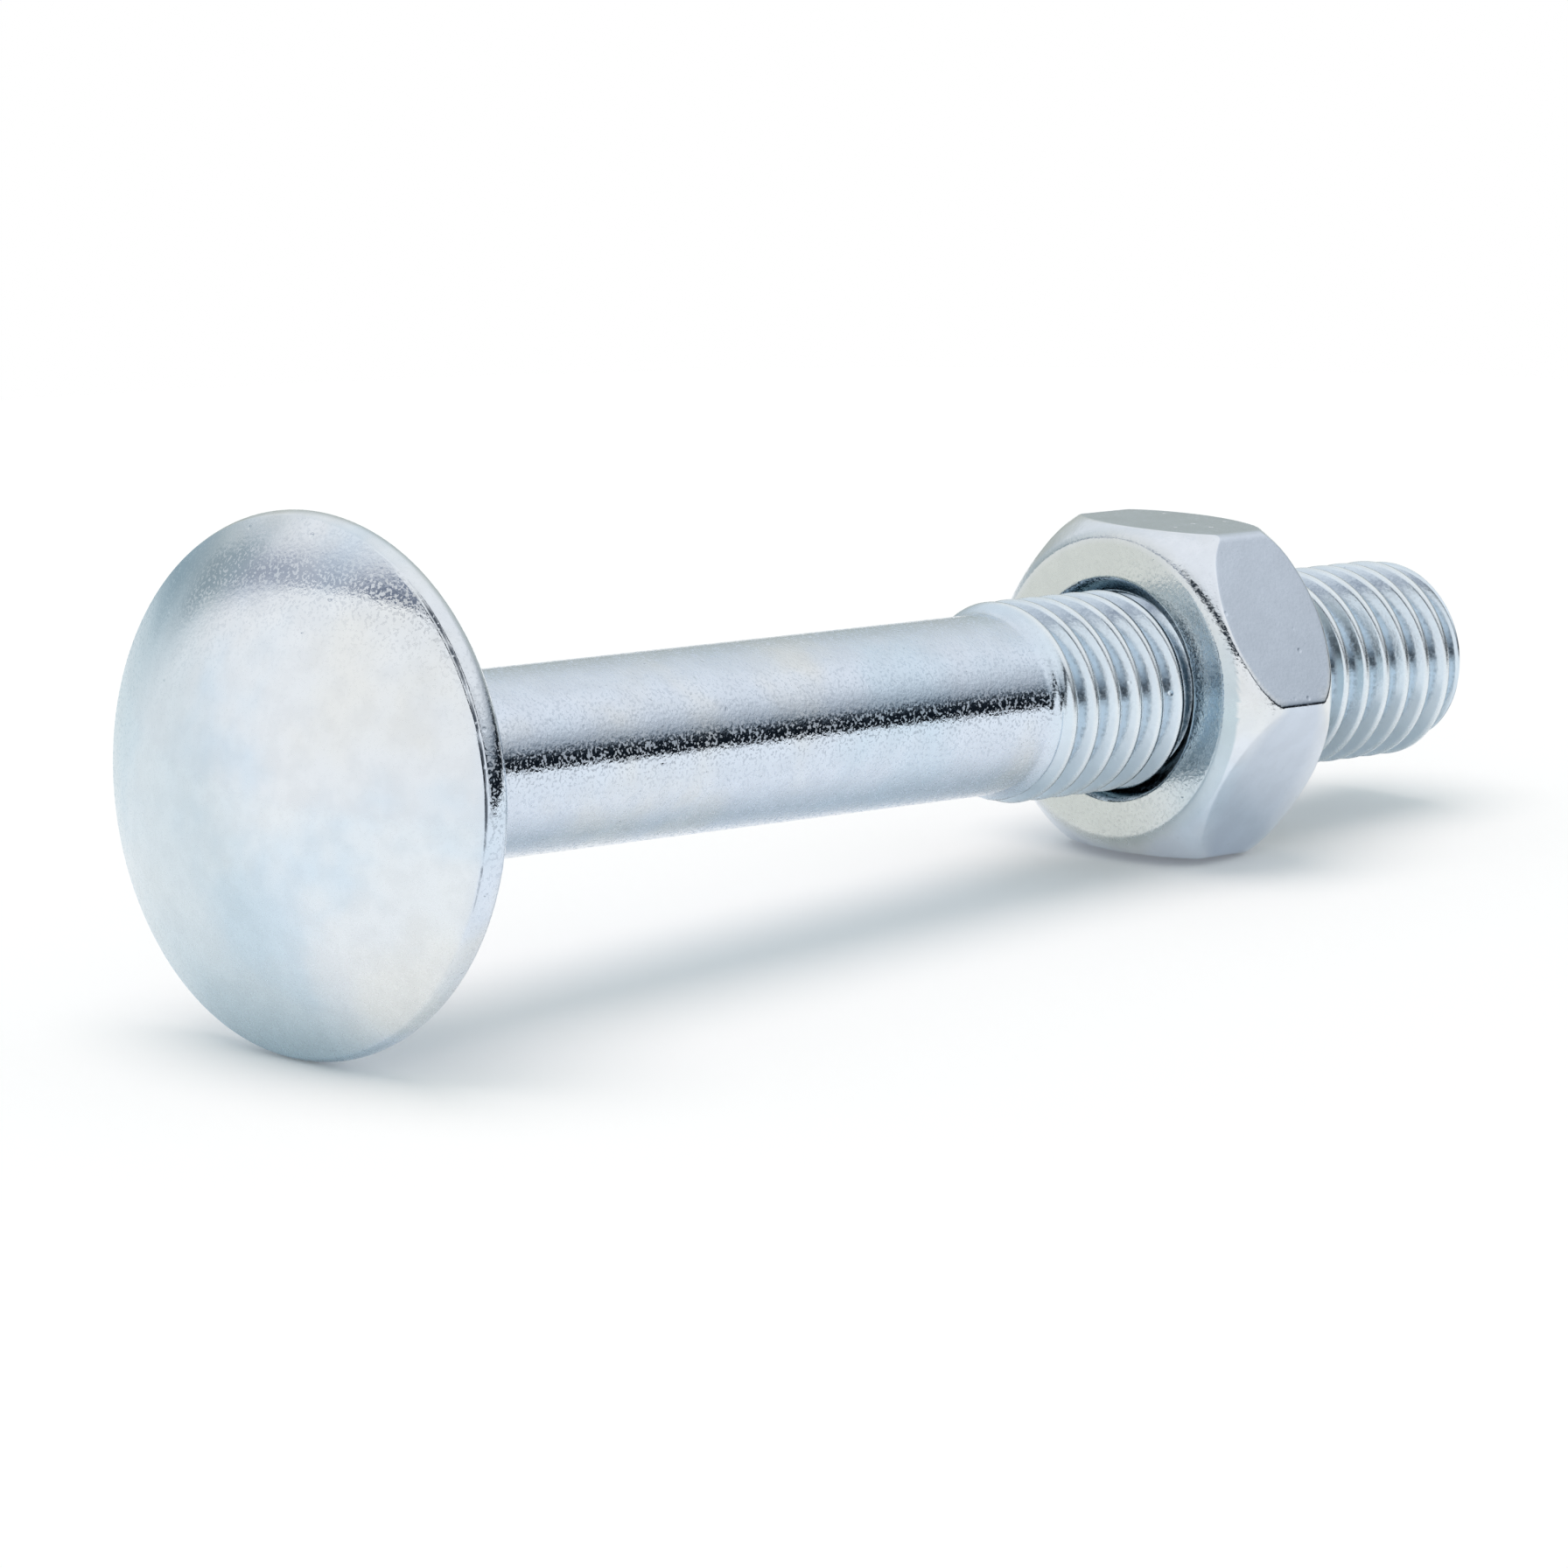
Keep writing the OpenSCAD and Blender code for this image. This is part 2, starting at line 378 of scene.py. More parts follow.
def mark(bm, name, rule):
    """Gives each vertex a value for the material, by a rule of its radius, height and angle."""
    layer = bm.verts.layers.float.new(name)
    for vert in bm.verts:
        vert[layer] = rule(math.hypot(vert.co.x, vert.co.y), vert.co.z, math.atan2(vert.co.y, vert.co.x))


def finish_piece(name, bm, thread, marks, material, body, node):
    """Joins a shape with its thread into one closed skin, lays it down and hands it to its body."""
    bm.from_mesh(thread)
    bpy.data.meshes.remove(thread)
    bmesh.ops.remove_doubles(bm, verts=bm.verts, dist=WELD)
    bmesh.ops.dissolve_degenerate(bm, edges=bm.edges, dist=WELD / 10)
    bmesh.ops.recalc_face_normals(bm, faces=bm.faces)
    open_edges = sum(1 for edge in bm.edges if not edge.is_manifold)
    if open_edges:
        raise RuntimeError(f"{name} has {open_edges} open edges")
    for mark_name, rule in marks.items():
        mark(bm, mark_name, rule)
    bmesh.ops.transform(bm, matrix=LAY_DOWN, verts=bm.verts)
    mesh = bpy.data.meshes.new(name)
    bm.to_mesh(mesh)
    bm.free()
    mesh.materials.clear()
    mesh.materials.append(material)
    mesh.shade_smooth()
    piece = bpy.data.objects.new(name, mesh)
    bpy.context.collection.objects.link(piece)
    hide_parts(node)
    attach(piece, body)
    return piece


def flank_width(thread):
    return thread.depth * math.tan(thread.flank_a)


def helix_start(bolt, thread, height):
    """A height at or below the given one where the middle of a root crosses the local X axis."""
    root = bolt.length - thread.length + thread.pitch * (thread.turn / (2 * math.pi) - 0.5)
    return root + thread.pitch * math.floor((height - root) / thread.pitch - 1)


def new_thread_tree(name, sizes):
    """Geometry Nodes tree with an input for each size, and the helix that every thread starts from.

    Returns the tree, its wiring, its inputs by name, and the rule's parts: the grid, the height along
    the axis, the angle round it, and how far the surface stands above the roots.
    """
    tree = bpy.data.node_groups.new(name, "GeometryNodeTree")
    tree.interface.new_socket("Geometry", in_out="OUTPUT", socket_type="NodeSocketGeometry")
    for size in sizes:
        kind = {"Columns": "NodeSocketInt", "Rows": "NodeSocketInt", "Turns": "NodeSocketInt",
                "Material": "NodeSocketMaterial"}.get(size, "NodeSocketFloat")
        tree.interface.new_socket(size, in_out="INPUT", socket_type=kind)
    wiring = Wiring(tree)
    given = {socket.name: socket for socket in wiring.node("NodeGroupInput").outputs}
    grid = wiring.node("GeometryNodeMeshGrid", {
        "Size X": 1.0,
        "Size Y": 1.0,
        "Vertices X": wiring.add(given["Columns"], 1.0),
        "Vertices Y": wiring.add(wiring.times(given["Rows"], given["Turns"]), 1.0),
    })
    place = wiring.node("ShaderNodeSeparateXYZ", {
        "Vector": wiring.node("GeometryNodeInputPosition").outputs["Position"],
    })
    round_share = wiring.add(place.outputs["X"], 0.5)
    turns = wiring.times(wiring.add(place.outputs["Y"], 0.5), given["Turns"])
    height = wiring.add(given["Start"], wiring.times(given["Pitch"], wiring.add(round_share, turns)))
    height = wiring.limit(height, given["Low"], given["High"])
    angle = wiring.times(round_share, 2 * math.pi)
    from_crest = wiring.times(
        given["Pitch"], wiring.math("ABSOLUTE", wiring.less(wiring.math("FRACT", turns), 0.5))
    )
    reach = wiring.add(wiring.times(given["Crest width"], 0.5), given["Flank width"])
    rise = wiring.times(wiring.less(reach, from_crest), wiring.over(given["Depth"], given["Flank width"]))
    return tree, wiring, given, (grid.outputs["Mesh"], height, angle, rise)


def end_thread_tree(wiring, given, grid, height, angle, radius):
    """Moves the grid on to the thread's surface and welds its seam."""
    where = wiring.node("ShaderNodeCombineXYZ", {
        "X": wiring.times(radius, wiring.math("COSINE", angle)),
        "Y": wiring.times(radius, wiring.math("SINE", angle)),
        "Z": height,
    })
    moved = wiring.node("GeometryNodeSetPosition", {"Geometry": grid, "Position": where.outputs["Vector"]})
    welded = wiring.node("GeometryNodeMergeByDistance", {
        "Geometry": moved.outputs["Geometry"], "Distance": WELD,
    })
    real = wiring.node("GeometryNodeRealizeInstances", {"Geometry": welded.outputs["Geometry"]})
    coloured = wiring.node("GeometryNodeSetMaterial", {
        "Geometry": real.outputs["Geometry"], "Material": given["Material"],
    })
    wiring.node("NodeGroupOutput", {"Geometry": coloured.outputs["Geometry"]})


THREAD_INPUTS = ["Start", "Low", "High", "Pitch", "Turns", "Columns", "Rows", "Crest radius", "Depth",
                 "Crest width", "Flank width", "Softness", "Material"]


def bolt_thread_tree():
    """Outside thread: it runs out into the shank at its foot, and the rounded tip cuts its last turns."""
    sizes = THREAD_INPUTS + ["Shank radius", "Foot", "Run-out", "Tip fall", "Tip length"]
    tree, w, given, (grid, height, angle, rise) = new_thread_tree("bolt_thread", sizes)
    depth, crest = given["Depth"], given["Crest radius"]
    lift = w.math("SMOOTH_MAX", w.math("SMOOTH_MIN", rise, depth, given["Softness"]), 0.0, given["Softness"])
    past_foot = w.less(height, given["Foot"])
    groove = w.over(w.less(past_foot, w.times(given["Run-out"], 0.15)), given["Pitch"])
    cut = w.times(w.less(depth, lift), w.limit(groove, 0.0, 1.0))
    ramp = w.smooth_step(past_foot, 0.0, given["Run-out"], given["Shank radius"], crest)
    radius = w.math("SMOOTH_MIN", ramp, w.less(crest, cut), w.times(given["Softness"], 0.5))
    tip_start = w.less(given["High"], given["Tip length"])
    along_tip = w.limit(w.over(w.less(height, tip_start), given["Tip length"]), 0.0, 1.0)
    bulge = w.math("SQRT", w.less(1.0, w.times(along_tip, along_tip)))
    tip = w.less(crest, w.times(given["Tip fall"], w.less(1.0, bulge)))
    end_thread_tree(w, given, grid, height, angle, w.math("MINIMUM", radius, tip))
    return tree


def nut_thread_tree():
    """Inside thread: it gives the bolt's crests room, and both countersinks open it to the mouths."""
    sizes = THREAD_INPUTS + ["Minor radius", "Major radius", "Mouth radius"]
    tree, w, given, (grid, height, angle, rise) = new_thread_tree("nut_thread", sizes)
    bare = w.add(w.less(given["Crest radius"], given["Depth"]), rise)
    radius = w.math("SMOOTH_MAX", w.math("SMOOTH_MIN", bare, given["Major radius"], given["Softness"]),
                    given["Minor radius"], given["Softness"])
    inward = w.math("MINIMUM", w.less(height, given["Low"]), w.less(given["High"], height))
    countersink = w.less(given["Mouth radius"], inward)
    end_thread_tree(w, given, grid, height, angle, w.math("MAXIMUM", radius, countersink))
    return tree


def grow_thread(tree, values):
    """Runs a thread tree with the given inputs and returns its result as a plain mesh."""
    holder = bpy.data.objects.new(tree.name, bpy.data.meshes.new(tree.name))
    bpy.context.collection.objects.link(holder)
    modifier = holder.modifiers.new(tree.name, "NODES")
    modifier.node_group = tree
    for item in tree.interface.items_tree:
        if item.in_out == "INPUT":
            modifier[item.identifier] = values[item.name]
    ready = holder.evaluated_get(bpy.context.evaluated_depsgraph_get())
    mesh = bpy.data.meshes.new_from_object(ready)
    holder.modifiers.remove(modifier)
    empty = holder.data
    bpy.data.objects.remove(holder)
    bpy.data.meshes.remove(empty)
    return mesh


def shared_thread_values(bolt, thread, low, high, play, material):
    start = helix_start(bolt, thread, low)
    return {
        "Start": start,
        "Low": low,
        "High": high,
        "Pitch": thread.pitch,
        "Turns": math.ceil((high - start) / thread.pitch) + 1,
        "Columns": bolt.columns,
        "Rows": thread.rows,
        "Crest radius": thread.crest_d / 2,
        "Depth": thread.depth,
        "Crest width": thread.crest_w + 2 * play,
        "Flank width": flank_width(thread),
        "Softness": thread.softness,
        "Material": material,
    }


def head_edge(bolt):
    """Radius and height of the line where the dome meets the rim."""
    rim_x = bolt.head_d / 2 - bolt.rim_r
    return rim_x + bolt.rim_r * math.cos(bolt.rim_end), -bolt.rim_r - bolt.rim_r * math.sin(bolt.rim_end)


def crease_share(angle):
    """How deep the crease is at an angle, as a share of its full depth: it runs down one side only."""
    start, start_fade, end, end_fade = 209, 14, 325, 60
    degrees = math.degrees(angle) % 360
    return min(max((degrees - start) / start_fade, 0), 1) * min(max((end - degrees) / end_fade, 0), 1)


def head_rings(bolt, angles):
    """Dome, the groove that parts it from the rim, and the rounded rim, as far as the flat underside."""
    edge_x, edge_z = head_edge(bolt)
    dome_h = bolt.head_h + edge_z
    dome_r = (edge_x ** 2 + dome_h ** 2) / (2 * dome_h)
    dome_end = math.asin(edge_x / dome_r)
    rim_x = bolt.head_d / 2 - bolt.rim_r
    dome_steps, rim_steps = 30, 18
    reach_in = 1.5 * bolt.crease_w

    def on_head(past, sink):
        """Point of the outline at a length past the crease, sunk below the surface."""
        if past < 0:
            a = dome_end + past / dome_r
            r = dome_r - sink
            return r * math.sin(a), dome_r - bolt.head_h - r * math.cos(a)
        a = bolt.rim_end - past / bolt.rim_r
        r = bolt.rim_r - sink
        return rim_x + r * math.cos(a), -bolt.rim_r - r * math.sin(a)

    def plain(past):
        return ring(angles, *on_head(past, 0))

    def groove(past):
        """Ring of the groove, which wavers and changes its depth along the rim."""
        points = []
        for a in angles:
            place = Vector((math.cos(a), math.sin(a), 0))
            shift = 0.3 * bolt.crease_w * noise.noise(9 * place)
            depth = bolt.crease_h * crease_share(a) * (1 + 1.2 * noise.noise(15 * place))
            across = math.cos(math.pi * past / bolt.crease_w)
            r, z = on_head(past + shift * across, depth * across)
            points.append((r * math.cos(a), r * math.sin(a), z))
        return points

    rings = [plain(-mix(dome_end * dome_r, reach_in, k / dome_steps)) for k in range(1, dome_steps + 1)]
    rings += [plain(-0.5 * bolt.crease_w)]
    rings += [groove(share * bolt.crease_w) for share in (-0.33, -0.17, 0.0, 0.17, 0.33)]
    rings += [plain(0.5 * bolt.crease_w)]
    rim_end = (bolt.rim_end + math.pi / 2) * bolt.rim_r
    rings += [plain(mix(reach_in, rim_end, k / rim_steps)) for k in range(rim_steps + 1)]
    return rings


def neck_radii(bolt, angles, height):
    """Radius of the square neck at each angle: flats, rounded corners and the cone that ends it."""
    cone_start = bolt.neck_h - bolt.neck_taper
    fall = (bolt.neck_corner_d - bolt.shank_d) / 2 / bolt.neck_taper
    cone = bolt.neck_corner_d / 2 - fall * max(height - cone_start, 0)
    limit = smooth_max(cone, bolt.shank_d / 2, bolt.neck_edge)
    foot = max(bolt.neck_fillet - height, 0)
    fillet = bolt.neck_fillet - math.sqrt(bolt.neck_fillet ** 2 - foot ** 2)
    radii = []
    for angle in angles:
        off = (angle + math.pi / 4) % (math.pi / 2) - math.pi / 4
        flat = bolt.neck_w / 2 / math.cos(off)
        radii.append(smooth_min(flat, limit, bolt.neck_edge) + fillet)
    return radii


def neck_rings(bolt, even, crowded):
    """Flat underside and square neck, along which the columns stay crowded towards its corners."""
    underside_steps, fillet_steps, cone_steps = 5, 6, 26
    rim_x = bolt.head_d / 2 - bolt.rim_r
    root = neck_radii(bolt, crowded, 0)
    rings = []
    for k in range(1, underside_steps + 1):
        share = k / underside_steps
        angles = [mix(a, b, share) for a, b in zip(even, crowded)]
        rings.append(ring(angles, [mix(rim_x, r, share) for r in root], 0))
    turns = [math.pi / 2 * k / fillet_steps for k in range(1, fillet_steps + 1)]
    heights = [bolt.neck_fillet * (1 - math.cos(turn)) for turn in turns]
    cone_start = bolt.neck_h - bolt.neck_taper - bolt.neck_edge
    cone_end = bolt.neck_h + bolt.neck_edge
    heights += [mix(bolt.neck_fillet, cone_start, k / 4) for k in range(1, 4)]
    heights += [mix(cone_start, cone_end, k / cone_steps) for k in range(cone_steps + 1)]
    rings += [ring(crowded, neck_radii(bolt, crowded, z), z) for z in heights]
    return rings


def shank_rings(bolt, even, crowded, end):
    """Plain shank, along which the crowded columns of the neck become even."""
    steps = 40
    start = bolt.neck_h + bolt.neck_edge
    rings = []
    for k in range(1, steps + 1):
        share = k / steps
        angles = [mix(a, b, share) for a, b in zip(crowded, even)]
        rings.append(ring(angles, bolt.shank_d / 2, mix(start, end, share)))
    return rings


# Patches of painted shade that darken the dome towards one side and its lower edge: strength, direction in
# degrees, and how far out that way each starts and is full, as shares of the dome's radius
DOME_SHADE_PATCHES = [(0.42, 62, -0.15, 0.25), (0.6, 115, 0.55, 0.95), (0.35, 15, 0.5, 0.95)]


def build_bolt(bolt, thread, material):
    even = even_angles(bolt.columns)
    crowded = spread_angles(bolt.columns, parts=4, edge=math.radians(36), share=0.45)
    foot = bolt.length - thread.length
    low = foot - thread.runout / 2
    body = head_rings(bolt, even) + neck_rings(bolt, even, crowded) + shank_rings(bolt, even, crowded, low)
    bm = skin(body, first_pole=(0, 0, -bolt.head_h))
    values = shared_thread_values(bolt, thread, low, bolt.length, 0, material)
    values.update({
        "Shank radius": bolt.shank_d / 2,
        "Foot": foot,
        "Run-out": thread.runout,
        "Tip fall": bolt.tip_in,
        "Tip length": bolt.tip_l,
    })
    end_r = thread.crest_d / 2 - bolt.tip_in
    end = skin([ring(even, end_r * share, bolt.length) for share in (1, 0.97, 0.6)],
               last_pole=(0, 0, bolt.length))
    end_mesh = bpy.data.meshes.new("tip_end")
    end.to_mesh(end_mesh)
    end.free()
    bm.from_mesh(end_mesh)
    bpy.data.meshes.remove(end_mesh)
    edge_x, edge_z = head_edge(bolt)
    tip_start = bolt.length - bolt.tip_l
    crest_in, crest_fade, dome_fade = 0.03 * MM, 0.06 * MM, 0.1 * MM
    # Place and half width of the painted shade line beside each crest, in pitches past the crest's middle
    shade_line_at, shade_line_half = 0.125, 0.05

    def crest_mark(r, z, a):
        """The crests, fading out down their flanks."""
        if z < foot or z > tip_start:
            return 0
        return min(max(1 - (thread.crest_d / 2 - crest_in - r) / crest_fade, 0), 1)

    def crest_shade_line_mark(r, z, a):
        """The side of each crest that faces the tip, where a dark line of painted shade goes."""
        past_crest = (z - foot) / thread.pitch - (thread.turn + a) / (2 * math.pi)
        off = (past_crest - shade_line_at + 0.5) % 1 - 0.5
        return max(1 - abs(off) / shade_line_half, 0) if foot + thread.runout / 2 < z < tip_start else 0

    def thread_mark(r, z, a):
        """The whole thread, fading in along its run-out."""
        return min(max((z - foot) / thread.runout, 0), 1)

    def crease_shade_mark(r, z, a):
        """The crease, where the painted shade is stronger in some places than in others."""
        uneven = 0.98 + 0.8 * noise.noise(12 * Vector((math.cos(a), math.sin(a), 0)))
        near = max(1 - math.hypot(r - edge_x, z - edge_z) / (1.5 * bolt.crease_w), 0)
        return crease_share(a) * min(uneven, 1) * near

    def dome_mark(r, z, a):
        """The dome, and the rim's upper part as the bolt lies, where the dome's brighter colour is a painted
        highlight.
        """
        on_dome = min(max((edge_z - z) / dome_fade, 0), 1)
        return max(on_dome, max(-math.cos(a), 0) if z < -dome_fade else 0)

    def painted_shade_mark(r, z, a):
        """Painted shade on the half of the dome towards local +Y and on its lower edge."""
        if z > -bolt.rim_r:
            return 0
        total = 0
        for strength, degrees, low, high in DOME_SHADE_PATCHES:
            reach = r / edge_x * math.cos(a - math.radians(degrees))
            share = min(max((reach - low) / (high - low), 0), 1)
            total += strength * share * share * (3 - 2 * share)
        return min(total, 1)

    marks = {"dome": dome_mark, "dull": painted_shade_mark, "crest": crest_mark, "edge": crest_shade_line_mark,
             "thread": thread_mark, "crease": crease_shade_mark}
    finish_piece("zinc_bolt", bm, grow_thread(bolt_thread_tree(), values), marks, material, "bolt",
                 "carriage_bolt")


def nut_outline(nut, angle):
    """Radius of the hexagon with crowned flats and rounded upright edges, at an angle."""
    off = abs((angle + math.pi / 6) % (math.pi / 3) - math.pi / 6)
    half = nut.width / 2 - nut.crown
    edge_c = (half - nut.edge_r) / math.cos(math.pi / 6)
    turn = math.pi / 6 - off
    if off > math.atan2(edge_c / 2, half):
        return edge_c * math.cos(turn) + math.sqrt(nut.edge_r ** 2 - (edge_c * math.sin(turn)) ** 2)
    across = math.tan(off) / math.tan(math.pi / 6)
    return (half + nut.crown * (1 - across * across)) / math.cos(off)


def nut_envelope(nut, radius):
    """Height of the rounded chamfer above the face, at a radius."""
    centre = nut.face_d / 2 - nut.chamfer_r * math.sin(nut.chamfer_low)
    meet = centre + nut.chamfer_r * math.sin(nut.chamfer_high)
    inner = min(radius, meet)
    deepest = nut.chamfer_r * math.cos(nut.chamfer_low)
    round_part = deepest - math.sqrt(nut.chamfer_r ** 2 - (inner - centre) ** 2)
    corner_in = nut.width / 2 / math.cos(math.pi / 6) - nut.corner_w
    fall = nut.corner_h * (max(radius - corner_in, 0) / nut.corner_w) ** 2
    return round_part + (radius - inner) * math.tan(nut.chamfer_high) + fall


def nut_column(nut, angle):
    """Points (radius, height) from the face's edge to the middle of the nut, at an angle."""
    soft = nut.bevel
    face_r = nut.face_d / 2
    outline = nut_outline(nut, angle)
    up = nut_envelope(nut, outline)
    face_in = (face_r - soft, 0)
    chamfer_in = (face_r + soft, nut_envelope(nut, face_r + soft))
    column = bend(face_in, (face_r, 0), chamfer_in, 5)
    chamfer_steps, edge_steps = 12, 5
    last = outline - soft / 2
    for k in range(1, chamfer_steps + 1):
        r = mix(face_r + soft, last, k / chamfer_steps)
        column.append((r, nut_envelope(nut, r)))
    column += bend(column[-1], (outline, up), (outline, up + soft), edge_steps)[1:]
    middle = nut.height / 2
    for share in (0.04, 0.1, 0.4, 1.0):
        column.append((outline, mix(up + soft, middle, share)))
    return column


def build_nut(bolt, thread, nut, material):
    even = even_angles(bolt.columns)
    crowded = spread_angles(bolt.columns, parts=6, edge=math.radians(27), share=0.55)
    columns = [nut_column(nut, angle) for angle in crowded]
    outside = []
    for row in zip(*columns):
        outside.append([(r * math.cos(a), r * math.sin(a), NUT_START + z) for a, (r, z) in zip(crowded, row)])
    mouth, edge = nut.mouth_d / 2, nut.face_d / 2 - nut.bevel
    soft_side, shade_side = math.radians(300), math.radians(-85)
    ring_deep, ring_over, ring_fade, bore_fade = 0.4 * MM, 0.5 * MM, 0.7 * MM, 0.15 * MM
    half = []
    for share in (0.0, 0.06, 0.35, 0.65, 0.94):
        angles = [mix(a, b, share) for a, b in zip(even, crowded)]
        half.append(ring(angles, mix(mouth, edge, share), NUT_START))
    half += outside
    top = 2 * NUT_START + nut.height
    mirrored = [[(x, y, top - z) for x, y, z in points] for points in reversed(half[:-1])]
    bm = skin(half + mirrored)
    values = shared_thread_values(bolt, thread, NUT_START, NUT_START + nut.height, thread.play, material)
    values.update({
        "Minor radius": nut.minor_d / 2,
        "Major radius": nut.major_d / 2,
        "Mouth radius": mouth,
        "Softness": thread.softness / 2,
    })

    def ring_mark(r, z, a):
        """The faces, fading out over the chamfer and towards local -Y, where the painted shade takes over."""
        off_face = min(abs(z - NUT_START), abs(z - NUT_START - nut.height))
        if r < mouth - 5 * MICRON or off_face > ring_deep:
            return 0
        fade = min(max((nut.face_d / 2 + ring_over - r) / ring_fade, 0), 1)
        return fade * (1 - 0.8 * max(-math.sin(a), 0) ** 2)

    def bore_mark(r, z, a):
        """Painted shade inside the nut, fading out over the outer part of its countersinks."""
        return min(max((mouth - r) / bore_fade, 0), 1)

    def flat_mark(r, z, a):
        """The flats, with a softer border on the soft side."""
        if r < nut.face_d / 2:
            return 0
        past_chamfer = min(z - NUT_START, NUT_START + nut.height - z) - nut_envelope(nut, r)
        soft = mix(0.01, 1.2, max(math.cos(a - soft_side), 0) ** 8) * MM
        return min(max((past_chamfer - nut.bevel / 2) / soft, 0), 1)

    def painted_shade_mark(r, z, a):
        """Painted shade on the faces towards local -Y."""
        return 0.7 * max(math.cos(a - shade_side), 0) ** 6 if ring_mark(r, z, a) > 0 else 0

    marks = {"ring": ring_mark, "bore": bore_mark, "flat": flat_mark, "dull": painted_shade_mark}
    finish_piece("zinc_nut", bm, grow_thread(nut_thread_tree(), values), marks, material, "nut", "hex_nut")


def zinc_material(name, finish, plate, coarseness, seed):
    """Bright zinc plating: patches of colour, slow waves, fine grain, pits, worn crests, dull rings, painted
    shade and a painted highlight.
    """
    material = bpy.data.materials.new(name)
    material.use_nodes = True
    tree = material.node_tree
    tree.nodes.clear()
    w = Wiring(tree)
    moved = w.node("ShaderNodeMapping", {
        "Vector": w.node("ShaderNodeTexCoord").outputs["Object"],
        "Location": (seed, 2 * seed, 3 * seed),
    }).outputs["Vector"]

    def clouds(size, detail, roughness=0.5):
        return w.node("ShaderNodeTexNoise", {
            "Vector": moved, "Scale": 1 / size, "Detail": detail, "Roughness": roughness,
        }).outputs["Fac"]

    def marked(mark_name):
        return w.node("ShaderNodeAttribute", attribute_name=mark_name).outputs["Fac"]

    def paint(below, colour, share):
        return w.blend(share, below, (*colour, 1.0))

    grain = clouds(finish.grain, 2.0)
    patches = clouds(finish.patch, 4.0)
    dome, thread = marked("dome"), marked("thread")
    # Brighter dome plating, which on the rim's upper side as the bolt lies is a painted highlight
    colour = paint((*plate, 1.0), finish.dome, w.times(dome, 0.6))
    colour = paint(colour, finish.cool, w.smooth_step(patches, 0.5, 0.3, 0.0, 0.7))
    colour = paint(colour, finish.warm, w.smooth_step(patches, 0.5, 0.7, 0.0, 0.7))
    colour = paint(colour, finish.thread, w.times(thread, 0.8))
    colour = paint(colour, finish.flat, marked("flat"))
    colour = paint(colour, finish.crest, w.times(marked("crest"), 0.6))
    colour = paint(colour, finish.ring, marked("ring"))
    # Painted shade to one side of the dome and of the nut's faces
    colour = paint(colour, finish.dull, marked("dull"))
    # Painted shade inside the nut
    colour = paint(colour, finish.bore, marked("bore"))
    finer = w.math("MAXIMUM", w.times(dome, 0.35), w.times(thread, 0.85))
    coarse = w.times(w.less(1.0, finer), coarseness)
    flecks = w.times(w.smooth_step(clouds(1.3 * finish.grain, 2.0, 0.7), 0.66, 0.76), w.times(coarse, 0.4))
    flecks = w.times(flecks, w.less(1.0, w.times(dome, 0.7)))
    # Painted shade in the head's crease, broken up by the grain
    crease_shade = w.times(w.smooth_step(marked("crease"), 0.4, 0.75), w.smooth_step(grain, 0.28, 0.42))
    # Painted shade: a dark line beside each crest on the side that faces the tip
    crest_shade_line = w.times(marked("edge"), w.smooth_step(grain, 0.4, 0.6, 0.0, 0.7))
    # Dark flecks, with the painted shade of the crease and beside the crests
    flecks_and_shade = w.math("MAXIMUM", flecks, w.math("MAXIMUM", crease_shade, crest_shade_line))
    mottle = w.smooth_step(clouds(finish.wave / 2, 3.0, 0.6), 0.35, 0.65, finish.mottle, 0.0)
    colour = paint(colour, finish.dirt_and_shade, w.math("MAXIMUM", flecks_and_shade, mottle))
    rough = w.smooth_step(clouds(finish.wave / 2, 4.0), 0.3, 0.7, finish.rough_low, finish.rough_high)
    specks = w.smooth_step(clouds(finish.speck, 1.0), 0.53, 0.6)
    rough = w.times(rough, w.less(1.0, w.times(dome, 0.5)))
    rough = w.add(rough, w.times(w.times(specks, coarse), finish.rough_speck))
    rough = w.add(rough, w.times(w.add(thread, marked("crest")), finish.rough_thread))
    rough = w.add(rough, w.times(marked("ring"), finish.rough_ring))
    smooth = w.math("MAXIMUM", w.math("MAXIMUM", dome, thread), marked("flat"))
    waves = w.node("ShaderNodeBump", {"Height": clouds(finish.wave, 1.0), "Distance": finish.wave_h})
    grains = w.node("ShaderNodeBump", {
        "Height": grain, "Distance": finish.grain_h, "Normal": waves.outputs["Normal"],
        "Strength": w.less(1.0, w.times(smooth, 0.65)),
    })
    cells = w.node("ShaderNodeTexVoronoi", {"Vector": moved, "Scale": 1 / finish.pit})
    dent = w.smooth_step(cells.outputs["Distance"], 0.03, 0.12)
    pits = w.node("ShaderNodeBump", {
        "Height": dent, "Distance": finish.pit_h, "Normal": grains.outputs["Normal"],
    })
    shader = w.node("ShaderNodeBsdfPrincipled", {
        "Base Color": colour,
        "Metallic": 1.0,
        "Roughness": rough,
        "Normal": pits.outputs["Normal"],
    })
    w.node("ShaderNodeOutputMaterial", {"Surface": shader.outputs["BSDF"]})
    return material


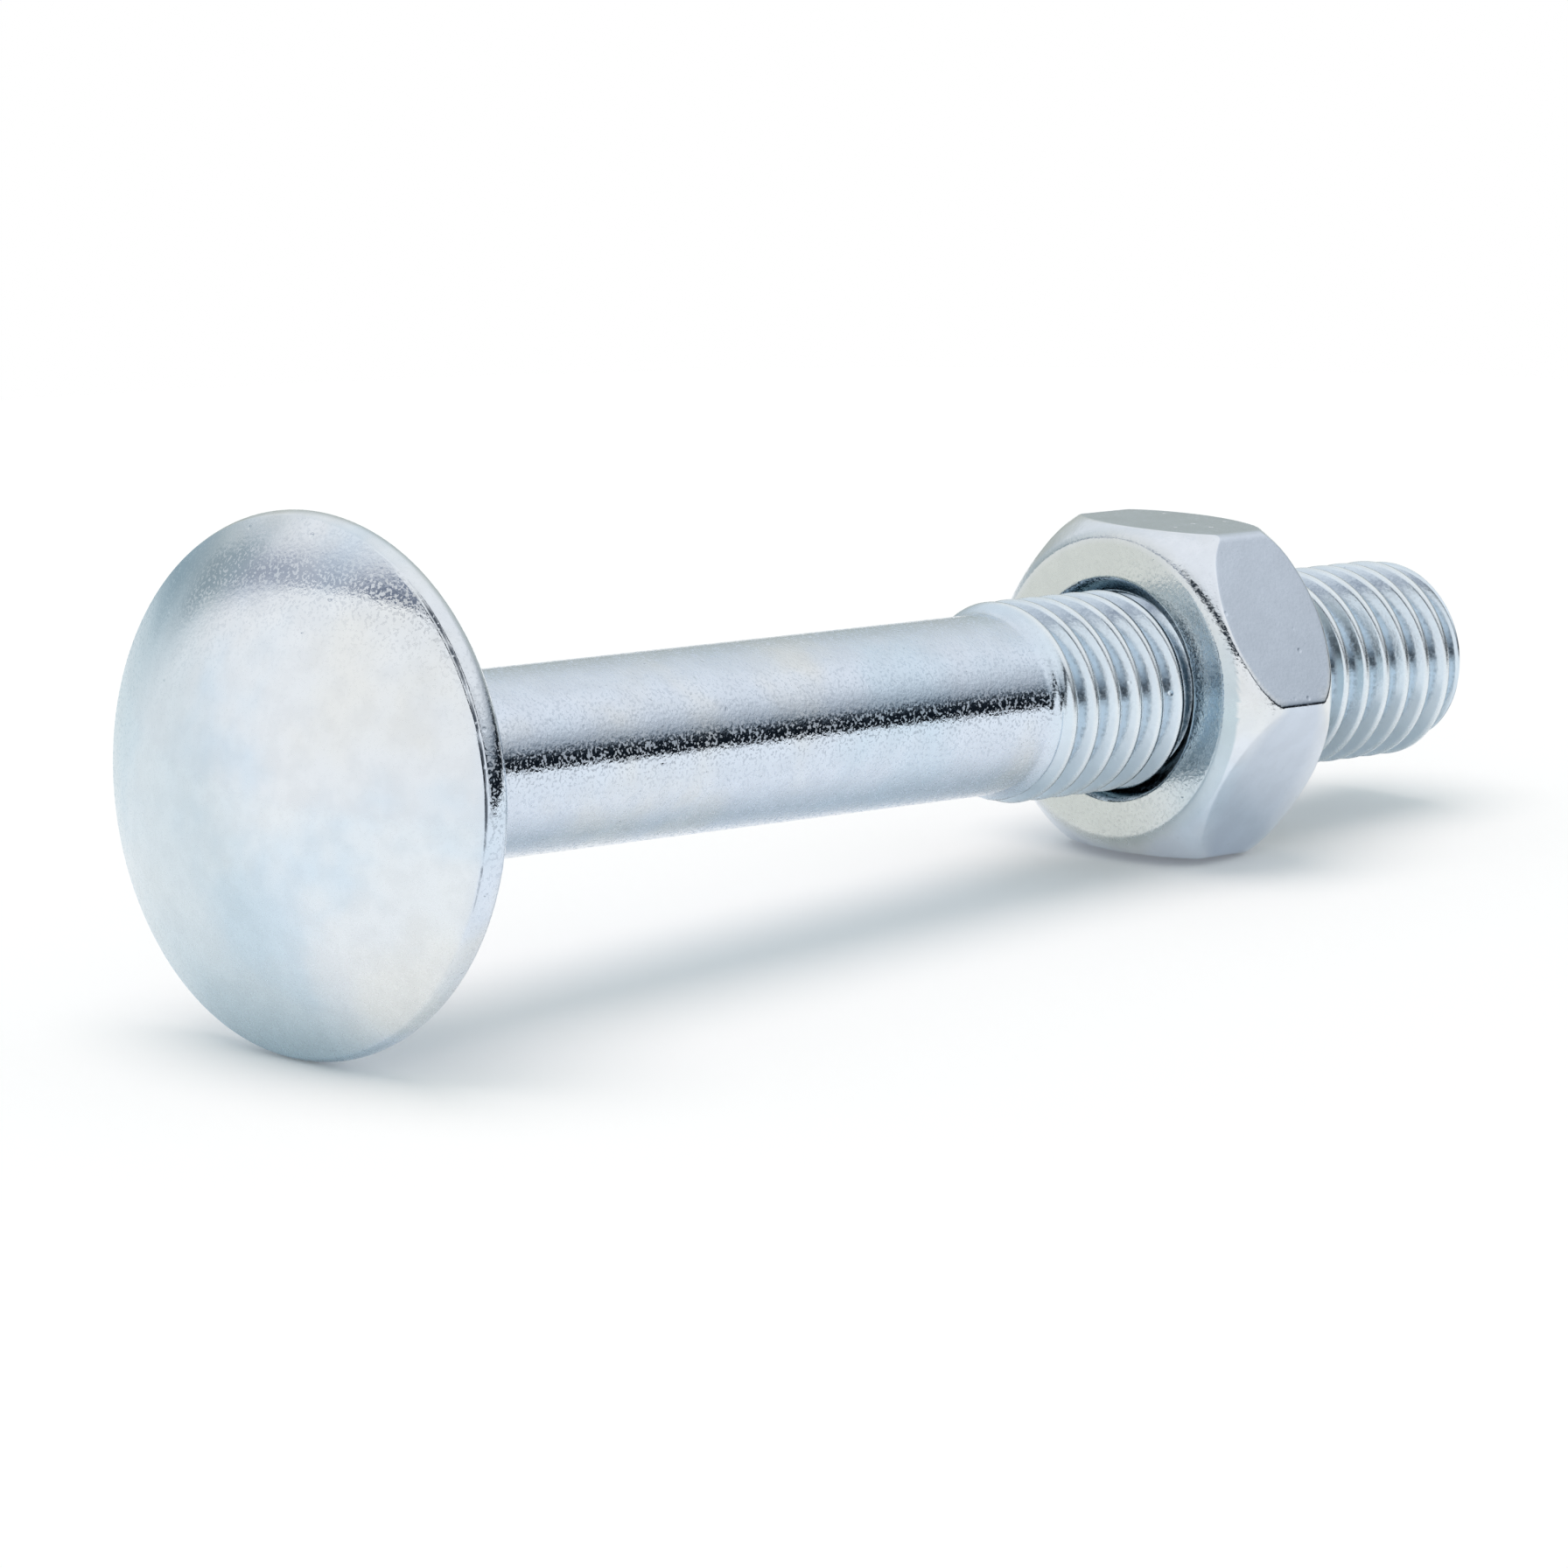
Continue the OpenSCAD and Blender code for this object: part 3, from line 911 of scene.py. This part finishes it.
# What the metal sees round the bolt: shades by degrees above the horizon, or above the top of the white
# wall that leans up on the left where that is less. Sides are degrees from straight behind the bolt, with
# the right positive, and each zone starts to show at its first side and is full at its second.
WALL_TOP, WALL_SIDE = 41, -135
NEAR_SHADES = [(-90, 1.0), (-1, 0.98), (0.5, 0.06), (10, 0.04), (14, 0.8), (25, 0.95), (90, 1.0)]
FRONT_SHADES = [(-90, 1.0), (0.2, 1.0), (1, 0.2), (3, 0.28), (5.6, 0.56), (8, 0.88), (14, 0.98), (90, 1.0)]
LEFT_SHADES = [(-90, 1.0), (0.4, 1.0), (1.3, 0.55), (2, 0.5), (4, 0.58), (6.5, 0.68), (9, 0.84), (12, 0.97),
               (90, 1.0)]
SIDE_SHADES = [(-90, 1.0), (-4, 0.99), (-1, 0.9), (1, 0.68), (3.5, 0.44), (6, 0.54), (9, 0.86), (13, 0.95),
               (90, 1.0)]
BACK_SHADES = [(-90, 1.0), (-5, 1.0), (-1.5, 0.86), (1, 0.62), (3.5, 0.42), (8, 0.43), (10.5, 0.64),
               (14, 0.82), (30, 0.9), (90, 1.0)]
CORNER_SHADES = [(-90, 1.0), (-3, 1.0), (1, 0.92), (4, 0.72), (8, 0.55), (14, 0.6), (25, 0.85), (90, 1.0)]
FAR_SHADES = [(-90, 1.0), (-0.5, 1.0), (0.5, 0.49), (6, 0.51), (13, 0.62), (20, 0.64), (29, 0.77), (33, 0.82),
              (42, 0.92), (90, 1.0)]
RIGHT_SHADES = [(-90, 1.0), (-8, 1.0), (-7, 0.05), (-0.5, 0.01), (8, 0.02), (12, 0.2), (15, 0.4), (20, 0.58),
                (25, 0.74), (29, 0.85), (33, 0.93), (40, 0.98)]
# Tints, as a power of the shade for each of red, green and blue
TEAL = (1.22, 1.0, 0.88)
OLIVE = (1.12, 1.0, 1.05)
BLUE = (1.15, 1.06, 0.98)
LILAC = (1.15, 1.05, 0.85)
ZONES = [
    (-141, -127, FRONT_SHADES, LILAC),
    (-116, -102, LEFT_SHADES, LILAC),
    (-93, -77, SIDE_SHADES, LILAC),
    (-75, -62, BACK_SHADES, TEAL),
    (-58, -46, CORNER_SHADES, TEAL),
    (-34, -16, FAR_SHADES, OLIVE),
    (32, 58, RIGHT_SHADES, BLUE),
    (128, 145, NEAR_SHADES, BLUE),
]


def tinted(shade, tint):
    """Colour of a wall: the darker its shade, the more its tint shows."""
    return tuple(shade ** power for power in tint)


def shades_by_height(wiring, height, shades, tint):
    return wiring.ramp(height, [((degrees + 90) / 180, tinted(shade, tint)) for degrees, shade in shades])


def seen_directly(wiring):
    """One for the rays that show the background: camera, glossy and transmission rays."""
    path = wiring.node("ShaderNodeLightPath").outputs
    either = wiring.math("MAXIMUM", path["Is Camera Ray"], path["Is Glossy Ray"])
    return wiring.math("MAXIMUM", either, path["Is Transmission Ray"])


def tent_material(studio):
    """Light tent of shaded walls that only the metal sees."""
    material = bpy.data.materials.new("tent_walls")
    material.use_nodes = True
    material.node_tree.nodes.clear()
    w = Wiring(material.node_tree)
    place = w.node("ShaderNodeTexCoord").outputs["Object"]
    unit = w.node("ShaderNodeVectorMath", {0: place}, operation="NORMALIZE").outputs["Vector"]
    right = Vector((math.cos(studio.azimuth), math.sin(studio.azimuth), 0))
    away = Vector((-math.sin(studio.azimuth), math.cos(studio.azimuth), 0))
    wall_a, wall_side = math.radians(WALL_TOP), math.radians(WALL_SIDE)
    out = away * math.cos(wall_side) + right * math.sin(wall_side)
    over_wall = Vector((0, 0, math.cos(wall_a))) - out * math.sin(wall_a)

    def towards(direction):
        made = w.node("ShaderNodeVectorMath", {0: unit, 1: direction}, operation="DOT_PRODUCT")
        return made.outputs["Value"]

    lower = w.math("MINIMUM", towards(over_wall), towards(Vector((0, 0, 1))))
    level = w.add(w.over(w.math("ARCSINE", lower), math.pi), 0.5)
    side = w.math("DEGREES", w.math("ARCTAN2", towards(right), towards(away)))
    colour = shades_by_height(w, level, NEAR_SHADES, BLUE)
    for start, end, shades, tint in ZONES:
        colour = w.blend(w.smooth_step(side, start, end), colour, shades_by_height(w, level, shades, tint))
    glow = w.node("ShaderNodeEmission", {"Color": colour, "Strength": 1.0})
    w.node("ShaderNodeOutputMaterial", {"Surface": glow.outputs["Emission"]})
    material.cycles.emission_sampling = "NONE"
    return material


def floor_material(studio):
    """Pale floor that is white in the picture and keeps the soft shadow."""
    material = bpy.data.materials.new("pale_floor")
    material.use_nodes = True
    material.node_tree.nodes.clear()
    w = Wiring(material.node_tree)
    shade = (studio.floor_shade,) * 3 + (1.0,)
    matt = w.node("ShaderNodeBsdfDiffuse", {"Color": shade})
    glow = w.node("ShaderNodeEmission", {"Strength": w.times(seen_directly(w), studio.floor_glow)})
    both = w.node("ShaderNodeAddShader", {0: matt.outputs["BSDF"], 1: glow.outputs["Emission"]})
    w.node("ShaderNodeOutputMaterial", {"Surface": both.outputs["Shader"]})
    return material


def build_camera(studio):
    data = bpy.data.cameras.new("camera")
    data.lens = studio.lens
    data.clip_start = 0.01
    camera = bpy.data.objects.new("camera", data)
    bpy.context.collection.objects.link(camera)
    flat = math.cos(studio.elevation)
    back = Vector((
        math.sin(studio.azimuth) * flat,
        -math.cos(studio.azimuth) * flat,
        math.sin(studio.elevation),
    ))
    turn = back.to_track_quat("Z", "Y") @ Quaternion((0, 0, 1), studio.roll)
    place = Vector(studio.target) + back * studio.distance
    camera.matrix_world = Matrix.Translation(place) @ turn.to_matrix().to_4x4()
    bpy.context.scene.camera = camera


def build_floor(studio):
    bm = bmesh.new()
    bmesh.ops.create_circle(bm, cap_ends=True, segments=96, radius=studio.floor_r)
    mesh = bpy.data.meshes.new("floor")
    bm.to_mesh(mesh)
    bm.free()
    mesh.materials.append(floor_material(studio))
    floor = bpy.data.objects.new("floor", mesh)
    bpy.context.collection.objects.link(floor)


def build_tent(studio):
    bm = bmesh.new()
    bmesh.ops.create_uvsphere(bm, u_segments=64, v_segments=32, radius=studio.tent_r)
    mesh = bpy.data.meshes.new("tent")
    bm.to_mesh(mesh)
    bm.free()
    mesh.shade_smooth()
    mesh.materials.append(tent_material(studio))
    tent = bpy.data.objects.new("tent", mesh)
    bpy.context.collection.objects.link(tent)
    tent.visible_camera = False
    tent.visible_diffuse = False
    tent.visible_shadow = False
    tent.visible_transmission = False
    tent.visible_volume_scatter = False


def build_lights(studio):
    world = bpy.data.worlds.new("studio")
    world.use_nodes = True
    world.node_tree.nodes.clear()
    w = Wiring(world.node_tree)
    shown = seen_directly(w)
    tint = w.blend(shown, (*studio.sky_tint, 1.0), (1.0, 1.0, 1.0, 1.0))
    level = w.add(w.times(shown, 1.0 - studio.sky), studio.sky)
    sky = w.node("ShaderNodeBackground", {"Color": tint, "Strength": level})
    w.node("ShaderNodeOutputWorld", {"Surface": sky.outputs["Background"]})
    bpy.context.scene.world = world
    data = bpy.data.lights.new("soft_box", "AREA")
    data.shape = "DISK"
    data.size = studio.lamp_size
    data.color = studio.lamp_tint
    data.energy = studio.lamp
    lamp = bpy.data.objects.new("soft_box", data)
    bpy.context.collection.objects.link(lamp)
    place = Vector(studio.lamp_place)
    lamp.matrix_world = Matrix.Translation(place) @ place.to_track_quat("Z", "Y").to_matrix().to_4x4()
    lamp.visible_glossy = False


class BOLT_OT_bolt(bpy.types.Operator):
    """Build the bolt: domed head, square neck, shank and thread"""

    bl_idname = "carriage_bolt.bolt"
    bl_label = "Bolt"

    def execute(self, context):
        scene = context.scene
        finish = scene.zinc_finish
        material = zinc_material("bolt_zinc", finish, finish.plate, 1.0, 0.0)
        build_bolt(scene.bolt_sizes, scene.thread_sizes, material)
        return {"FINISHED"}


class BOLT_OT_nut(bpy.types.Operator):
    """Build the hex nut with its chamfers, countersinks and inside thread"""

    bl_idname = "carriage_bolt.nut"
    bl_label = "Nut"

    def execute(self, context):
        scene = context.scene
        finish = scene.zinc_finish
        material = zinc_material("nut_zinc", finish, finish.nut_plate, 0.4, 0.1)
        build_nut(scene.bolt_sizes, scene.thread_sizes, scene.nut_sizes, material)
        return {"FINISHED"}


class BOLT_OT_stage(bpy.types.Operator):
    """Set up the camera, the floor, the light tent and the lamps"""

    bl_idname = "carriage_bolt.stage"
    bl_label = "Stage"

    def execute(self, context):
        studio = context.scene.studio_settings
        build_camera(studio)
        build_floor(studio)
        build_tent(studio)
        build_lights(studio)
        context.scene.view_settings.view_transform = "Standard"
        return {"FINISHED"}


class BOLT_PT_panel(bpy.types.Panel):
    """Buttons that build the bolt, the nut and the stage"""

    bl_idname = "BOLT_PT_panel"
    bl_label = "Carriage Bolt"
    bl_space_type = "VIEW_3D"
    bl_region_type = "UI"
    bl_category = "Bolt"

    def draw(self, context):
        for operator in OPERATORS:
            self.layout.operator(operator.bl_idname)
        for group in ("bolt_sizes", "thread_sizes", "nut_sizes", "zinc_finish", "studio_settings"):
            settings = getattr(context.scene, group)
            box = self.layout.box()
            for name in settings.__annotations__:
                box.prop(settings, name)


GROUPS = {
    "bolt_sizes": BoltSizes,
    "thread_sizes": ThreadSizes,
    "nut_sizes": NutSizes,
    "zinc_finish": ZincFinish,
    "studio_settings": StudioSettings,
}
OPERATORS = (BOLT_OT_stage, BOLT_OT_bolt, BOLT_OT_nut)


def register():
    for name, group in GROUPS.items():
        bpy.utils.register_class(group)
        setattr(bpy.types.Scene, name, PointerProperty(type=group))
    for operator in OPERATORS:
        bpy.utils.register_class(operator)
    bpy.utils.register_class(BOLT_PT_panel)


def unregister():
    bpy.utils.unregister_class(BOLT_PT_panel)
    for operator in reversed(OPERATORS):
        bpy.utils.unregister_class(operator)
    for name, group in reversed(GROUPS.items()):
        delattr(bpy.types.Scene, name)
        bpy.utils.unregister_class(group)


def main():
    register()
    bpy.ops.carriage_bolt.stage()
    bpy.ops.carriage_bolt.bolt()
    bpy.ops.carriage_bolt.nut()


if __name__ == "__main__":
    main()
